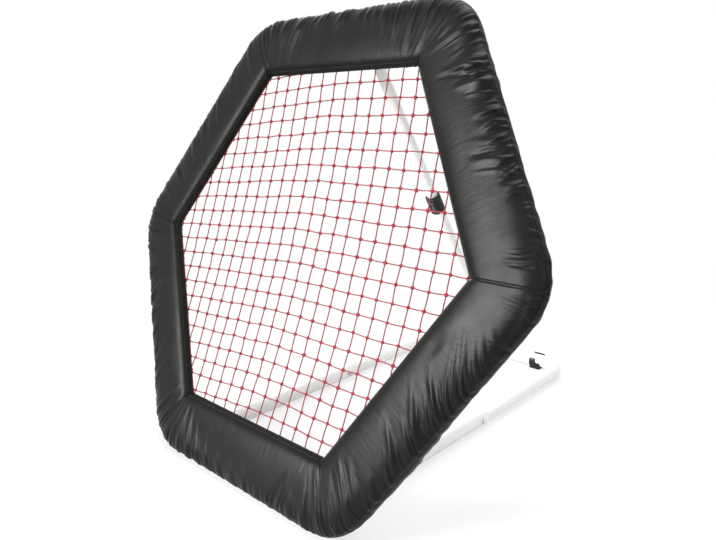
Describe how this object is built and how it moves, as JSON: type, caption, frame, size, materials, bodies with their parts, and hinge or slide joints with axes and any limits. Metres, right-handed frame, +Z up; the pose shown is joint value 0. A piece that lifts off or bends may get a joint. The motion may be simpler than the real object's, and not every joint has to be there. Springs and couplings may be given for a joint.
{
  "type": "soccer rebounder",
  "caption": "Padded hexagonal net panel that leans back on a folding U-shaped tube stand, held by a telescopic strut with a twist-lock collar.",
  "frame": {"origin": "middle of the footprint on the floor", "axes": "+Z up, -Y towards the player in front of the net, +X to the right of someone who looks along +Y at the net"},
  "size_m": [0.8084, 0.7186, 0.6751],
  "materials": {
    "cover_fabric": "coated woven polyester with a soft sheen",
    "foam": "open-cell foam",
    "white_paint": "white powder coat",
    "black_plastic": "moulded, fine grain",
    "zinc": "zinc plated",
    "net_cord": "braided cord"
  },
  "bodies": {
    "stand": {"stand_rear_u": "white_paint", "stand_leg_left": "white_paint", "stand_leg_right": "white_paint", "leg_plug_left": "black_plastic", "leg_plug_right": "black_plastic", "hinge_bolt_left": "zinc", "hinge_bolt_right": "zinc", "hinge_nut_left": "zinc", "hinge_nut_right": "zinc", "leg_screw_left": "zinc", "leg_screw_right": "zinc", "leg_nut_left": "zinc", "leg_nut_right": "zinc", "rear_foot_left": "black_plastic", "rear_foot_right": "black_plastic"},
    "panel": {"frame_tube_bottom": "white_paint", "frame_tube_lower_right": "white_paint", "frame_tube_upper_right": "white_paint", "frame_tube_top": "white_paint", "frame_tube_upper_left": "white_paint", "frame_tube_lower_left": "white_paint", "corner_elbow_1": "black_plastic", "corner_elbow_2": "black_plastic", "corner_elbow_3": "black_plastic", "corner_elbow_4": "black_plastic", "corner_elbow_5": "black_plastic", "corner_elbow_6": "black_plastic", "foam_pad_bottom": "foam", "foam_pad_lower_right": "foam", "foam_pad_upper_right": "foam", "foam_pad_top": "foam", "foam_pad_upper_left": "foam", "foam_pad_lower_left": "foam", "cover_bottom": "cover_fabric", "cover_lower_right": "cover_fabric", "cover_upper_right": "cover_fabric", "cover_top": "cover_fabric", "cover_upper_left": "cover_fabric", "cover_lower_left": "cover_fabric", "net": "net_cord", "net_border_rope": "net_cord", "hinge_bracket_left": "white_paint", "hinge_bracket_right": "white_paint", "top_bracket": "white_paint", "top_bolt": "zinc", "top_nut": "zinc"},
    "strut_upper": {"strut_upper_tube": "white_paint", "strut_top_eye": "black_plastic"},
    "strut_lower": {"strut_lower_tube": "white_paint", "strut_foot": "black_plastic"},
    "collar": {"strut_collar": "black_plastic"}
  },
  "joints": [
    {"name": "panel_fold", "type": "hinge", "parent": "stand", "child": "panel", "pos_m": [0, -0.30063, 0.0155], "axis": [-1, 0, 0], "range_deg": [0, 66]},
    {"name": "strut_swing", "type": "hinge", "parent": "panel", "child": "strut_upper", "pos_m": [0, -0.0559, 0.63449], "axis": [-1, 0, 0], "range_deg": [0, 52.8]},
    {"name": "strut_slide", "type": "slide", "parent": "strut_upper", "child": "strut_lower", "axis": [0, -0.5424, 0.8401], "range_m": [0, 0.2534]},
    {"name": "collar_twist", "type": "hinge", "parent": "strut_lower", "child": "collar", "pos_m": [0, -0.0559, 0.63449], "axis": [0, -0.5424, 0.8401], "range_deg": [0, 90]}
  ],
  "couplings": [
    {"joint": "strut_swing", "follows": "panel_fold", "ratio": 0.8},
    {"joint": "strut_slide", "follows": "panel_fold", "m_per_rad": 0.22}
  ]
}
